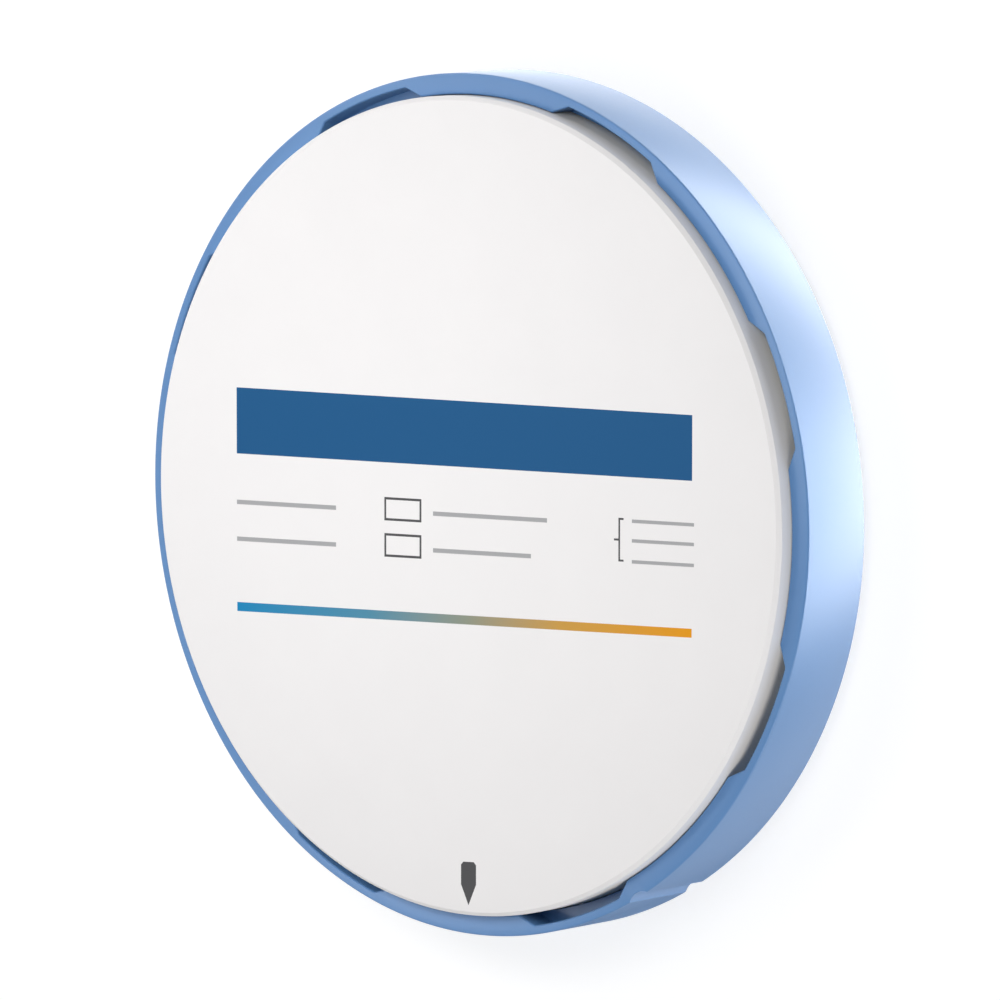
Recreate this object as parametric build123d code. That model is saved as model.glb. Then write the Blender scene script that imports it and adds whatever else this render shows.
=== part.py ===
# Dental milling disc: a round ceramic blank held in a moulded plastic ring.
# Millimetres, lying flat with the printed face up. The origin is the centre
# of the blank's back face, X runs along the print and Y across it.
import os
from math import cos, degrees, radians, sin
from build123d import *

# Ring
ring_diameter = 98.5
ring_width = 10.0
ring_wall = 2.4
ring_edge_radius = 0.2
bore_chamfer = 0.15

# Blank, which stands out of the ring by the same amount at both faces
glue_gap = 0.1
blank_height = 14.0
blank_bevel = 0.5

# Pockets in the ring's upper face, open to the bore
pocket_count = 8
first_pocket_angle = 19.5
pocket_depth = 3.3
pocket_rim = 1.02
pocket_back_length = 13.2
pocket_mouth_length = 17.2
pocket_corner_radius = 0.4
pocket_chamfer = 0.12

# Turning groove down the outside of the ring
groove_angle = -59.4
groove_radius = 2.3
groove_depth = 0.57

# Radial score on the ring's upper face, across the disc from the groove
score_angle = 121.2
score_length = 0.85
score_width = 0.18
score_depth = 0.09

ring_radius = ring_diameter / 2
bore_radius = ring_radius - ring_wall
blank_radius = bore_radius - glue_gap
ring_bottom = (blank_height - ring_width) / 2
ring_top = ring_bottom + ring_width


def point_at(radius, turn):
    return Vector(radius * cos(radians(turn)), radius * sin(radians(turn)))


def mirrored(point):
    return Vector(point.X, -point.Y)


def make_blank():
    """The blank: a plain pressed cylinder, bevelled at both faces."""
    blank = Cylinder(blank_radius, blank_height, align=(Align.CENTER, Align.CENTER, Align.MIN))
    rims = blank.edges().filter_by(GeomType.CIRCLE)
    return chamfer(rims, blank_bevel)


def ring_body():
    """The plain ring, turned from its section: a rectangle with broken corners."""
    section = Pos(bore_radius, ring_bottom) * Rectangle(
        ring_radius - bore_radius, ring_width, align=(Align.MIN, Align.MIN)
    )
    inner_corners = section.vertices().sort_by(Axis.X)[:2]
    section = chamfer(inner_corners, bore_chamfer)
    outer_corners = section.vertices().sort_by(Axis.X)[-2:]
    section = fillet(outer_corners, ring_edge_radius)
    return revolve(Plane.XZ * section, Axis.Z)


def pocket_plan():
    """A pocket seen from above, on the +X axis: an arc at the back and two slanted ends."""
    back_radius = ring_radius - pocket_rim
    back_corner = point_at(back_radius, degrees(pocket_back_length / back_radius / 2))
    mouth_corner = point_at(bore_radius, degrees(pocket_mouth_length / bore_radius / 2))
    # The ends run on past the bore by the wall they leave, so the pocket is open to it.
    slant = mouth_corner - back_corner
    inner_corner = mouth_corner + slant
    outline = Wire([
        ThreePointArc(mirrored(back_corner), (back_radius, 0), back_corner),
        Line(back_corner, inner_corner),
        Line(inner_corner, mirrored(inner_corner)),
        Line(mirrored(inner_corner), mirrored(back_corner)),
    ])
    plan = Face(outline)
    back_corners = plan.vertices().sort_by(Axis.X)[-2:]
    return fillet(back_corners, pocket_corner_radius)


def pocket_cut():
    """What one pocket takes out of the ring, with a small chamfer round its mouth."""
    plan = pocket_plan()
    well = extrude(plan, -pocket_depth)
    mouth = extrude(offset(plan, pocket_chamfer), -pocket_chamfer, taper=45)
    return Pos(0, 0, ring_top) * (well + mouth)


def groove_cut():
    """A shallow round groove, parallel to the axis, over the whole width of the ring."""
    centre = point_at(ring_radius - groove_depth + groove_radius, groove_angle)
    round_bar = Cylinder(groove_radius, ring_width, align=(Align.CENTER, Align.CENTER, Align.MIN))
    return Pos(centre.X, centre.Y, ring_bottom) * round_bar


def score_cut():
    """A short V score that runs in from the ring's outer edge."""
    section = Polygon(
        (-score_width / 2, 0), (score_width / 2, 0), (0, -score_depth), align=None
    )
    bar = extrude(Plane.YZ * section, score_length, dir=(1, 0, 0))
    return Rot(0, 0, score_angle) * Pos(ring_radius - score_length, 0, ring_top) * bar


def make_ring():
    """The moulded holder ring with its pockets, groove and score."""
    ring = ring_body()
    cut = pocket_cut()
    for index in range(pocket_count):
        turn = first_pocket_angle + index * 360 / pocket_count
        ring -= Rot(0, 0, turn) * cut
    return ring - groove_cut() - score_cut()


parts = {"zirconia_blank": make_blank(), "holder_ring": make_ring()}
os.makedirs("parts", exist_ok=True)
for name, solid in parts.items():
    export_step(solid, f"parts/{name}.step")
    print(name, round(solid.volume, 1), "cubic mm")
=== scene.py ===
# Dental milling disc: a pressed ceramic blank glued into a moulded plastic ring, lying on a pale floor.
# Metres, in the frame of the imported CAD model: the printed face looks up and X runs along the print.
# The dictionaries of the ring and the blank are in millimetres and degrees.
import bpy
from math import asin, cos, pi, radians, sin
from mathutils import Matrix, Vector
from mathutils.geometry import delaunay_2d_cdt


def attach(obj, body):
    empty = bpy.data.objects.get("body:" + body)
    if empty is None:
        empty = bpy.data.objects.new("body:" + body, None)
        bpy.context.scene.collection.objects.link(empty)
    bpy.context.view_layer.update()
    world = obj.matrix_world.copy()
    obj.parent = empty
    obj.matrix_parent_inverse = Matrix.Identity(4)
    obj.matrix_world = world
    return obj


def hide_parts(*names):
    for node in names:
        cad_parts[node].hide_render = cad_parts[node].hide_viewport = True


print("frame: load the packed model")
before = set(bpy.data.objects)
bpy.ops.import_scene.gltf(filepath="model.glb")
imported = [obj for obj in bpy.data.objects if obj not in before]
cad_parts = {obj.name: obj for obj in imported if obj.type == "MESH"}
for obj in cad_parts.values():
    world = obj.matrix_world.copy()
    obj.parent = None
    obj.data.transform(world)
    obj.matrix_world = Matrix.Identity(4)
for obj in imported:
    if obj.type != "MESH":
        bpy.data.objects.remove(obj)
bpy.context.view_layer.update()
collection = bpy.context.scene.collection
mm = 0.001


def hexColour(code):  # sRGB hex to Blender's linear colour
    values = [int(code[i:i + 2], 16) / 255 for i in (1, 3, 5)]
    return tuple(v / 12.92 if v < 0.04045 else ((v + 0.055) / 1.055) ** 2.4 for v in values) + (1.0,)


def addNode(tree, kind, inputs=(), **settings):
    # an input takes a value, or another node's output to link to
    node = tree.nodes.new(kind)
    for name, value in settings.items():
        setattr(node, name, value)
    for name, value in dict(inputs).items():
        if isinstance(value, bpy.types.NodeSocket):
            tree.links.new(value, node.inputs[name])
        else:
            node.inputs[name].default_value = value
    return node


def calculate(tree, operation, *values):
    return addNode(tree, "ShaderNodeMath", dict(enumerate(values)), operation=operation).outputs[0]


def mapRange(tree, value, start, end, low=0.0, high=1.0):
    inputs = {"Value": value, "From Min": start, "From Max": end, "To Min": low, "To Max": high}
    return addNode(tree, "ShaderNodeMapRange", inputs).outputs[0]


def blend(tree, kind, share, first, second):  # kind is FLOAT or RGBA
    start, result = {"FLOAT": (2, 0), "RGBA": (6, 2)}[kind]
    inputs = {0: share, start: first, start + 1: second}
    return addNode(tree, "ShaderNodeMix", inputs, data_type=kind).outputs[result]


def colourRamp(tree, share, stops):  # stops are places from 0 to 1 with their colours
    node = addNode(tree, "ShaderNodeValToRGB", {0: share})
    elements = node.color_ramp.elements
    for n, (place, colour) in enumerate(stops):
        stop = elements[n] if n < 2 else elements.new(place)
        stop.position, stop.color = place, colour
    return node.outputs[0]


def coordinates(tree, kind="Object"):
    return addNode(tree, "ShaderNodeTexCoord").outputs[kind]


def newMaterial(name):
    material = bpy.data.materials.new(name)
    material.use_nodes = True
    material.node_tree.nodes.clear()
    return material, material.node_tree


def setSurface(tree, shader):
    addNode(tree, "ShaderNodeOutputMaterial", {"Surface": shader.outputs[0]})


def newObject(name, data):
    item = bpy.data.objects.new(name, data)
    collection.objects.link(item)
    return item


def placed(place, behind, up):  # a camera or lamp with its back and its top towards these directions
    return Matrix.Translation(place) @ Matrix((up.cross(behind), up, behind)).transposed().to_4x4()


def shadeMesh(mesh, sharpOver=28):
    mesh.shade_smooth()
    mesh.set_sharp_from_angle(angle=radians(sharpOver))


def polar(radius, turn):
    return Vector((radius * cos(turn), radius * sin(turn)))


print("camera: the photograph's viewpoint, turned so that the disc seems to stand")
camera = dict(
    pivot=(0, 0, 0.012),  # the middle of the ring's upper face
    towards=(0.65257, 0.10861, 0.74990),  # from there to the camera
    right=(0.75437, 0.0, -0.65645),
    distance=0.8806, lens=278.7, sensor=36, nearest=0.05, farthest=20,
    aimRight=0.003458, aimUp=0.000705,
)
pivot, towards, sideways = (Vector(camera[name]) for name in ("pivot", "towards", "right"))
aim = pivot + sideways * camera["aimRight"] + towards.cross(sideways) * camera["aimUp"]
cameraPlace = pivot + towards * camera["distance"]
behind = (cameraPlace - aim).normalized()
cameraData = bpy.data.cameras.new("photoCamera")
cameraData.lens, cameraData.sensor_width = camera["lens"], camera["sensor"]
cameraData.clip_start, cameraData.clip_end = camera["nearest"], camera["farthest"]
cameraObject = newObject("photoCamera", cameraData)
cameraObject.matrix_world = placed(cameraPlace, behind, behind.cross(sideways).normalized())
bpy.context.scene.camera = cameraObject

print("studio: floor, world and lamps")
studio = dict(
    floorHalf=3.0, floorColour="#E0E0E0", floorShown="#A0A0A0", floorOwnWhite=0.76,
    worldLight=0.08, worldShown=1.0,
    boxesFrom=-0.25, boxesFull=-0.45,  # how far down a reflection looks, as the Z of its direction
)
# compass angle and brightness of the soft boxes that the ring's wall mirrors
softBoxes = [
    (-180, 0.2), (-140, 0.15), (-110, 0.8), (-77, 1.8), (-46, 2.2), (-36, 3.2), (-27, 10.0),
    (-16, 12.8), (16, 12.8), (30, 8.4), (41, 7.0), (57, 9.5), (70, 12.5), (84, 12.5),
    (94, 4.5), (104, 2.4), (125, 2.2), (147, 2.5), (180, 2.3),
]
# name, place, aim, its two sides, direction of the first side, watts
lamps = [
    ("middleLamp", (-0.02, 0.02, 0.12), (-0.02, 0.02, 0), (0.06, 0.06), (1, 0, 0), 0.0315),
    ("leftLamp", (-0.35, 0.20, 0.22), (0, 0, 0.01), (0.20, 0.20), (0, 1, 0), 0.40),
    ("lowLeftLamp", (-0.45, -0.10, 0.10), (0, 0, 0.01), (0.30, 0.10), (0, 1, 0), 0.30),
    ("lowerRightLamp", (0.30, -0.35, 0.20), (0, 0, 0.01), (0.20, 0.20), (1, 1, 0), 1.02),
    ("upperRightLamp", (0.20, 0.17, 0.40), (0, 0, 0.01), (0.20, 0.20), (1, -1, 0), 0.80),
    ("topLamp", (-0.17, 0.42, 0.137), (0, 0.045, 0.012), (0.34, 0.04), (0.285, 0.064, 0.145), 0.36),
    ("topGlint", (-0.10, 0.04, 0.125), (-0.002, 0.048, 0.012), (0.05, 0.03), (0, 1, 0), 0.015),
    ("bottomGlint", (-0.105, -0.072, 0.123), (-0.007, -0.048, 0.012), (0.03, 0.02), (0, 1, 0), 0.016),
]

material, tree = newMaterial("white_painted_floor")
# Matt white paint: it takes the disc's soft shadow. Its own white, which only the camera sees,
# lifts it to the paper white of the background.
fromCamera = addNode(tree, "ShaderNodeLightPath").outputs["Is Camera Ray"]
ownWhite = calculate(tree, "MULTIPLY", fromCamera, studio["floorOwnWhite"])
white = addNode(tree, "ShaderNodeEmission", {"Strength": ownWhite})
shade = blend(tree, "RGBA", fromCamera, hexColour(studio["floorColour"]), hexColour(studio["floorShown"]))
paint = addNode(tree, "ShaderNodeBsdfDiffuse", {"Color": shade})
setSurface(tree, addNode(tree, "ShaderNodeAddShader", {0: paint.outputs[0], 1: white.outputs[0]}))
floorMesh = bpy.data.meshes.new("floor")
half = studio["floorHalf"]
floorCorners = [(-half, -half, 0), (half, -half, 0), (half, half, 0), (-half, half, 0)]
floorMesh.from_pydata(floorCorners, [], [(0, 1, 2, 3)])
floorMesh.materials.append(material)
floor = newObject("floor", floorMesh)
floor.visible_glossy = False  # reflections look past it to the soft boxes, as round a disc held upright

world = bpy.data.worlds.new("studio")
bpy.context.scene.world = world
world.use_nodes = True
tree = world.node_tree
tree.nodes.clear()
# Even dim light all round, and white to the camera and to reflections.
# Reflections that look down see the soft boxes, which add nothing to the diffuse light.
rays = addNode(tree, "ShaderNodeLightPath").outputs
look = addNode(tree, "ShaderNodeSeparateXYZ", {0: coordinates(tree, "Generated")}).outputs
compass = mapRange(tree, calculate(tree, "ARCTAN2", look["Y"], look["X"]), -pi, pi)
brightest = max(strength for turn, strength in softBoxes)
boxes = colourRamp(tree, compass, [
    ((turn + 180) / 360, (strength / brightest,) * 3 + (1,)) for turn, strength in softBoxes
])
boxes = calculate(tree, "MULTIPLY", boxes, brightest)
downward = mapRange(tree, look["Z"], studio["boxesFrom"], studio["boxesFull"])
mirrored = blend(tree, "FLOAT", downward, studio["worldShown"], boxes)
plain = mapRange(tree, rays["Is Camera Ray"], 0, 1, studio["worldLight"], studio["worldShown"])
level = blend(tree, "FLOAT", rays["Is Glossy Ray"], plain, mirrored)
sky = addNode(tree, "ShaderNodeBackground", {"Color": (1, 1, 1, 1), "Strength": level})
addNode(tree, "ShaderNodeOutputWorld", {"Surface": sky.outputs[0]})

for name, place, target, sides, along, watts in lamps:
    data = bpy.data.lights.new(name, "AREA")
    data.shape = "RECTANGLE"
    data.size, data.size_y = sides
    data.energy = watts
    lamp = newObject(name, data)
    behind = (Vector(place) - Vector(target)).normalized()
    lamp.matrix_world = placed(place, behind, behind.cross(Vector(along)).normalized())
    lamp.visible_camera = False

print("materials")
# the print's ends, its climb along X with the climb's change down the face, and its finest line
label = dict(left=-34.17, right=34.36, tilt=0.0262, keystone=0.0008, line=0.28)


def noiseOf(tree, size, detail, roughness=0.5):
    inputs = {"Vector": coordinates(tree), "Scale": 1 / size, "Detail": detail, "Roughness": roughness}
    return addNode(tree, "ShaderNodeTexNoise", inputs).outputs["Fac"]


def grain(tree, size, depth, strength):  # fine noise, and the same noise as a bump
    noise = noiseOf(tree, size, 3, 0.6)
    return noise, addNode(tree, "ShaderNodeBump", {"Strength": strength, "Distance": depth, "Height": noise})


plastic, tree = newMaterial("satin_moulded_polymer")
# Satin injection-moulded polymer: an even mid blue, with soft broad highlights and light on its broken edges.
noise, bump = grain(tree, 0.35 * mm, 0.004 * mm, 0.25)
rounded = addNode(tree, "ShaderNodeBevel", {"Radius": 0.1 * mm}, samples=6)
tree.links.new(rounded.outputs[0], bump.inputs["Normal"])
tone = blend(tree, "RGBA", noiseOf(tree, 18 * mm, 2), hexColour("#5886BC"), hexColour("#5F8DC2"))
sheen = mapRange(tree, noise, 0, 1, 0.28, 0.38)
setSurface(tree, addNode(tree, "ShaderNodeBsdfPrincipled", {
    "Base Color": tone, "Roughness": sheen, "IOR": 1.5, "Normal": bump.outputs[0],
}))

zirconia, tree = newMaterial("pressed_zirconia_powder")
# Pre-sintered zirconia: chalk white and matt, with the fine grain of a pressed powder.
# Its side turns a darker beige round the middle of its height, deep in the ring's pockets: painted shade.
# painted shade: the side darkens to beige between 6.2 and 3.5 mm from the middle of its height, where it lies
# in the ring
paintedPocketShade = dict(middle=7.0, starts=6.2, full=3.5, colour="#EEE3D0")
noise, bump = grain(tree, 0.3 * mm, 0.006 * mm, 0.3)
tone = blend(tree, "RGBA", noiseOf(tree, 9 * mm, 3), hexColour("#F2F0F0"), hexColour("#F6F4F4"))
height = addNode(tree, "ShaderNodeSeparateXYZ", {0: coordinates(tree)}).outputs["Z"]
away = calculate(tree, "ABSOLUTE", calculate(tree, "SUBTRACT", height, paintedPocketShade["middle"] * mm))
pocketShadeShare = mapRange(tree, away, paintedPocketShade["starts"] * mm, paintedPocketShade["full"] * mm)
tone = blend(tree, "RGBA", pocketShadeShare, tone, hexColour(paintedPocketShade["colour"]))
setSurface(tree, addNode(tree, "ShaderNodeBsdfPrincipled", {
    "Base Color": tone, "Roughness": 0.7, "IOR": 1.5, "Normal": bump.outputs[0],
}))


def inkMaterial(name, colour):
    # Dried ink on the powder face: flat colour, a little smoother than the ceramic under it.
    ink, tree = newMaterial(name)
    bump = grain(tree, 0.3 * mm, 0.004 * mm, 0.2)[1]
    body = addNode(tree, "ShaderNodeBsdfPrincipled", {
        "Base Color": hexColour(colour), "Roughness": 0.6, "IOR": 1.33, "Normal": bump.outputs[0],
    })
    setSurface(tree, body)
    return ink, tree, body


blueInk = inkMaterial("dried_blue_ink", "#005082")[0]
greyInk = inkMaterial("dried_dark_grey_ink", "#4A4A4C")[0]
paleInk = inkMaterial("dried_pale_grey_ink", "#A9A9AB")[0]
gradientInk, tree, body = inkMaterial("dried_gradient_ink", "#FFFFFF")  # blue runs into amber along X
along = addNode(tree, "ShaderNodeSeparateXYZ", {0: coordinates(tree)}).outputs["X"]
along = mapRange(tree, along, label["left"] * mm, label["right"] * mm)
gradient = colourRamp(tree, along, [(place, hexColour(colour)) for place, colour in (
    (0, "#0083B8"), (0.3, "#4C8BA6"), (0.52, "#8F9583"), (0.72, "#CB9B47"), (1, "#E89A00"),
)])
tree.links.new(gradient, body.inputs["Base Color"])

print("ring: swept and cut by Geometry Nodes")
ring = dict(
    radius=49.25, wall=2.4, bottom=2.0, top=12.0, edge=0.2, steps=480, edgeSteps=4, weld=0.002,
    pockets=8, firstPocket=19.5, pocketDepth=3.3, rim=1.02, backArc=13.2, mouthArc=17.2,
    cornerRadius=0.4, mouthChamfer=0.12, backSteps=10, cornerSteps=6,
    pocketPast=1.2,  # how far the slanted ends run on past the bore, in walls
    grooveAngle=-59.4, grooveRadius=2.3, grooveDepth=0.57, grooveLength=12.0, grooveSteps=96,
    scoreAngle=121.2, scoreLength=0.85, scoreWidth=0.18, scoreDepth=0.09,
    # the score's cutter: its height above the face, its widening there, and its run past the rim
    scoreLift=0.05, scoreSpread=1.5, scorePast=0.5,
)


def pocketOutline(grow):  # a pocket about +X, seen from above: an arc at the back and two slanted ends
    backRadius = ring["radius"] - ring["rim"]
    boreRadius = ring["radius"] - ring["wall"]
    backSteps, cornerSteps, cornerRadius = ring["backSteps"], ring["cornerSteps"], ring["cornerRadius"]
    corner = polar(backRadius, ring["backArc"] / backRadius / 2)
    mouth = polar(boreRadius, ring["mouthArc"] / boreRadius / 2)
    slant = (mouth - corner).normalized()
    outward = Vector((slant.y, -slant.x))
    # The rounded corner's centre lies one corner radius inside both the arc and the slanted end.
    inset = corner - outward * cornerRadius
    run = inset.dot(slant)
    excess = inset.length_squared - (backRadius - cornerRadius) ** 2
    centre = inset + slant * (-run - (run * run - excess) ** 0.5)
    start, end = asin(centre.y / centre.length), asin(outward.y)
    half = [polar(backRadius + grow, start * i / backSteps) for i in range(backSteps)]
    for i in range(cornerSteps + 1):
        half.append(centre + polar(cornerRadius + grow, start + (end - start) * i / cornerSteps))
    half.append(mouth + slant * (ring["wall"] * ring["pocketPast"]) + outward * grow)
    return [Vector((point.x, -point.y)) for point in reversed(half[1:])] + half


def loftMesh(name, layers):  # a closed solid through outlines that share their number of points
    count = len(layers[0][0])
    points = [(point.x * mm, point.y * mm, z * mm) for shape, z in layers for point in shape]
    faces = [tuple(reversed(range(count))), tuple(range((len(layers) - 1) * count, len(layers) * count))]
    for low in range(0, (len(layers) - 1) * count, count):
        high = low + count
        for i in range(count):
            j = (i + 1) % count
            faces.append((low + i, low + j, high + j, high + i))
    mesh = bpy.data.meshes.new(name)
    mesh.from_pydata(points, [], faces)
    mesh.validate()
    return mesh


# a pocket's cutter: straight sides, then a chamfer that runs on above the face by its own size
chamfer = ring["mouthChamfer"]
cutterMesh = loftMesh("pocketCutter", [
    (pocketOutline(0), ring["top"] - ring["pocketDepth"]),
    (pocketOutline(0), ring["top"] - chamfer),
    (pocketOutline(chamfer * 2), ring["top"] + chamfer),
])

# the score's cutter: a V that lies along +X and is then turned to its place
# Known fault: its faces look inwards, so it only marks its outline on the ring's face and cuts nothing.
spread = ring["scoreWidth"] / 2 * ring["scoreSpread"]
lifted = ring["top"] + ring["scoreLift"]
scoreSection = [(-spread, lifted), (spread, lifted), (0, ring["top"] - ring["scoreDepth"])]
scoreEnds = (ring["radius"] - ring["scoreLength"], ring["radius"] + ring["scorePast"])
scoreTurn = Matrix.Rotation(radians(ring["scoreAngle"]), 3, "Z")
scoreMesh = bpy.data.meshes.new("scoreCutter")
scoreMesh.from_pydata(
    [scoreTurn @ (Vector((x, y, z)) * mm) for x in scoreEnds for y, z in scoreSection], [],
    [(0, 2, 1), (3, 4, 5), (0, 1, 4, 3), (1, 2, 5, 4), (2, 0, 3, 5)],
)
scoreObject = newObject("scoreCutter", scoreMesh)

tree = bpy.data.node_groups.new("ringTree", "GeometryNodeTree")
tree.interface.new_socket("Pocket", in_out="INPUT", socket_type="NodeSocketGeometry")
settings = []
for name, kind, value in (
    ("Radius", "NodeSocketFloat", ring["radius"] * mm),
    ("Wall", "NodeSocketFloat", ring["wall"] * mm),
    ("Width", "NodeSocketFloat", (ring["top"] - ring["bottom"]) * mm),
    ("Edge", "NodeSocketFloat", ring["edge"] * mm),
    ("Steps", "NodeSocketInt", ring["steps"]),
    ("Pockets", "NodeSocketInt", ring["pockets"]),
    ("First Pocket", "NodeSocketFloat", radians(ring["firstPocket"])),
):
    socket = tree.interface.new_socket(name, in_out="INPUT", socket_type=kind)
    settings.append((socket.identifier, value))
tree.interface.new_socket("Ring", in_out="OUTPUT", socket_type="NodeSocketGeometry")
given = addNode(tree, "NodeGroupInput").outputs
halfWay = (ring["top"] + ring["bottom"]) / 2 * mm

middle = calculate(tree, "SUBTRACT", given["Radius"], calculate(tree, "MULTIPLY", given["Wall"], 0.5))
circle = addNode(tree, "GeometryNodeCurvePrimitiveCircle", {"Resolution": given["Steps"], "Radius": middle})
section = addNode(tree, "GeometryNodeCurvePrimitiveQuadrilateral", {
    "Width": given["Wall"], "Height": given["Width"],
})
section = addNode(tree, "GeometryNodeFilletCurve", {
    "Curve": section.outputs[0], "Count": ring["edgeSteps"], "Radius": given["Edge"],
}, mode="POLY")
swept = addNode(tree, "GeometryNodeCurveToMesh", {
    "Curve": circle.outputs[0], "Profile Curve": section.outputs[0], "Fill Caps": False,
})
swept = addNode(tree, "GeometryNodeTransform", {0: swept.outputs[0], "Translation": (0, 0, halfWay)})

index = addNode(tree, "GeometryNodeInputIndex").outputs[0]
pitch = calculate(tree, "DIVIDE", 2 * pi, given["Pockets"])
angle = calculate(tree, "MULTIPLY_ADD", index, pitch, given["First Pocket"])
turned = addNode(tree, "ShaderNodeCombineXYZ", {"Z": angle})
spots = addNode(tree, "GeometryNodePoints", {"Count": given["Pockets"]})
pockets = addNode(tree, "GeometryNodeInstanceOnPoints", {
    "Points": spots.outputs[0], "Instance": given["Pocket"], "Rotation": turned.outputs[0],
})
pockets = addNode(tree, "GeometryNodeRealizeInstances", {0: pockets.outputs[0]})

grooveReach = ring["radius"] - ring["grooveDepth"] + ring["grooveRadius"]
spot = polar(grooveReach * mm, radians(ring["grooveAngle"]))
groove = addNode(tree, "GeometryNodeMeshCylinder", {
    "Vertices": ring["grooveSteps"], "Radius": ring["grooveRadius"] * mm, "Depth": ring["grooveLength"] * mm,
})
groove = addNode(tree, "GeometryNodeTransform", {
    0: groove.outputs["Mesh"], "Translation": (spot.x, spot.y, halfWay),
})
score = addNode(tree, "GeometryNodeObjectInfo", {"Object": scoreObject})

cuts = addNode(tree, "GeometryNodeJoinGeometry")
for cut in (pockets.outputs[0], groove.outputs[0], score.outputs["Geometry"]):
    tree.links.new(cut, cuts.inputs[0])
body = addNode(tree, "GeometryNodeMeshBoolean", {
    "Mesh 1": swept.outputs[0], "Mesh 2": cuts.outputs[0],
}, operation="DIFFERENCE", solver="EXACT")
body = addNode(tree, "GeometryNodeRealizeInstances", {0: body.outputs[0]})
body = addNode(tree, "GeometryNodeMergeByDistance", {0: body.outputs[0], "Distance": ring["weld"] * mm})
body = addNode(tree, "GeometryNodeSetMaterial", {0: body.outputs[0], "Material": plastic})
addNode(tree, "NodeGroupOutput", {0: body.outputs[0]})

maker = newObject("ringMaker", cutterMesh)
modifier = maker.modifiers.new("ringTree", "NODES")
modifier.node_group = tree
for identifier, value in settings:
    modifier[identifier] = value
ringMesh = bpy.data.meshes.new_from_object(maker.evaluated_get(bpy.context.evaluated_depsgraph_get()))
bpy.data.objects.remove(maker)
bpy.data.objects.remove(scoreObject)
shadeMesh(ringMesh)
holderRing = newObject("holder_ring_fine", ringMesh)

print("blank: turned body, with its print laid flush in the face")
blank = dict(radius=46.75, height=14.0, bevel=0.5, soften=0.12, steps=384, weld=1e-5, rimWithin=1e-3)


def corners(x0, x1, y0, y1):
    return [(x0, y0), (x1, y0), (x1, y1), (x0, y1)]


def frameOf(x0, x1, y0, y1, line):  # four bars round a box
    return [
        corners(x0, x1, y0, y0 + line), corners(x0, x1, y1 - line, y1),
        corners(x0, x0 + line, y0 + line, y1 - line), corners(x1 - line, x1, y0 + line, y1 - line),
    ]


bracket = [
    (23.1, -2.44), (23.75, -2.44), (23.75, -0.05), (24.5, -0.05), (24.5, -0.28), (23.99, -0.28),
    (23.99, -4.82), (24.5, -4.82), (24.5, -5.05), (23.75, -5.05), (23.75, -2.67), (23.1, -2.67),
]
pointer = [
    (0.79, -40.6), (0.44, -40.95), (0.44, -43.2), (1.57, -45.6), (2.71, -43.2), (2.71, -40.95), (2.36, -40.6),
]
left, right = label["left"], label["right"]
emptyBoxes = [(-11.2, -5.55, -1.95, 0.72), (-11.2, -5.55, -6.1, -3.4)]
rules = [
    (left, -18.65, -1.1, -0.6), (left, -18.65, -5.3, -4.8),
    (-3.78, 13.28, -1.1, -0.6), (-3.78, 10.9, -5.3, -4.8),
    (25.7, 34.65, -0.55, -0.15), (25.7, 34.65, -2.8, -2.4), (25.7, 34.65, -5.2, -4.8),
]
prints = [  # ink and outline
    (blueInk, corners(left, right, 4.67, 12.19)),
    (gradientInk, corners(left, right, -13.31, -12.28)),
    (greyInk, pointer), (greyInk, bracket),
]
prints += [(greyInk, bar) for box in emptyBoxes for bar in frameOf(*box, label["line"])]
prints += [(paleInk, corners(*rule)) for rule in rules]

# radius and height from the face's rim down to the back's rim, the lower half a mirror of the upper
radius, height, bevel, soften = (blank[name] for name in ("radius", "height", "bevel", "soften"))
bend = ((0.35, 0.12), (0.8, 0.55))  # a softened corner's points, along its flat and away from it
profile = [(radius - bevel - soften / 2, height)]
profile += [(radius - bevel + soften * run, height - soften * drop) for run, drop in bend]
profile += [(radius - soften * drop, height - bevel + soften * run) for run, drop in reversed(bend)]
profile.append((radius, height - bevel - soften / 2))
profile += [(reach, height - z) for reach, z in reversed(profile)]

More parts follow.
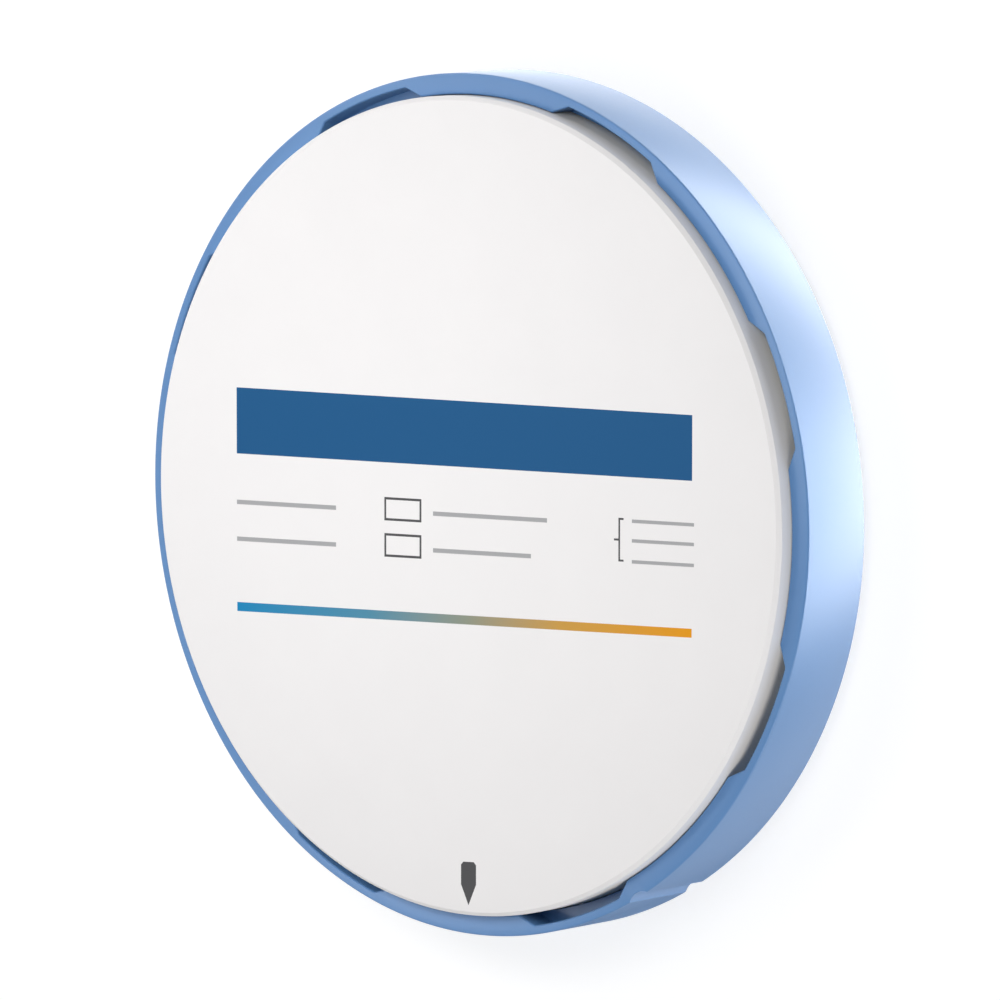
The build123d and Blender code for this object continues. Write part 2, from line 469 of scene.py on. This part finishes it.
# the face, cut into triangles along the outlines of the print
steps, faceRadius = blank["steps"], profile[0][0]
turns = [2 * pi * i / steps for i in range(steps)]
points, shapes = [polar(faceRadius, turn) for turn in turns], [list(range(steps))]
for ink, shape in prints:
    if sum(a[0] * b[1] - a[1] * b[0] for a, b in zip(shape, shape[1:] + shape[:1])) < 0:
        shape = shape[::-1]  # every outline runs anticlockwise
    shapes.append(list(range(len(points), len(points) + len(shape))))
    points += [Vector((x, y + (label["tilt"] - label["keystone"] * y) * x)) for x, y in shape]
insideOnly = 1
facePoints, _, faceTriangles, _, _, owners = delaunay_2d_cdt(points, [], shapes, insideOnly, blank["weld"])

slots = [zirconia, blueInk, greyInk, paleInk, gradientInk]
faces, inks = [], []
for triangle, inShapes in zip(faceTriangles, owners):
    a, b, c = (facePoints[i] for i in triangle[:3])
    faces.append(tuple(triangle) if (b - a).cross(c - a) > 0 else tuple(reversed(triangle)))
    owner = max(inShapes, default=0)  # shape 0 is the whole face
    inks.append(slots.index(prints[owner - 1][0]) if owner else 0)

rimAt = {}
for n, point in enumerate(facePoints):
    if abs(point.length - faceRadius) < blank["rimWithin"]:
        share = (point.angle_signed(Vector((1, 0))) % (2 * pi)) / (2 * pi)
        rimAt[round(share * steps) % steps] = n
previous = [rimAt[i] for i in range(steps)]
vertices = [(point.x * mm, point.y * mm, height * mm) for point in facePoints]
for reach, z in profile[1:]:
    current = list(range(len(vertices), len(vertices) + steps))
    vertices += [(reach * mm * cos(turn), reach * mm * sin(turn), z * mm) for turn in turns]
    for i in range(steps):
        j = (i + 1) % steps
        faces.append((previous[i], current[i], current[j], previous[j]))
    previous = current
faces.append(tuple(reversed(previous)))
inks += [0] * (len(faces) - len(inks))

blankMesh = bpy.data.meshes.new("zirconia_blank_fine")
blankMesh.from_pydata(vertices, [], faces)
blankMesh.polygons.foreach_set("material_index", inks)
for slot in slots:
    blankMesh.materials.append(slot)
shadeMesh(blankMesh)
printedBlank = newObject("zirconia_blank_fine", blankMesh)

for item, node, slot in (
    (holderRing, "holder_ring", "ring_plastic"),
    (printedBlank, "zirconia_blank", "zirconia"),
):
    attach(item, "root")
    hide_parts(node)
    print(item.name, len(item.data.vertices), "points", [round(v * 1000, 3) for v in item.dimensions])

bpy.context.scene.view_settings.view_transform = "Standard"
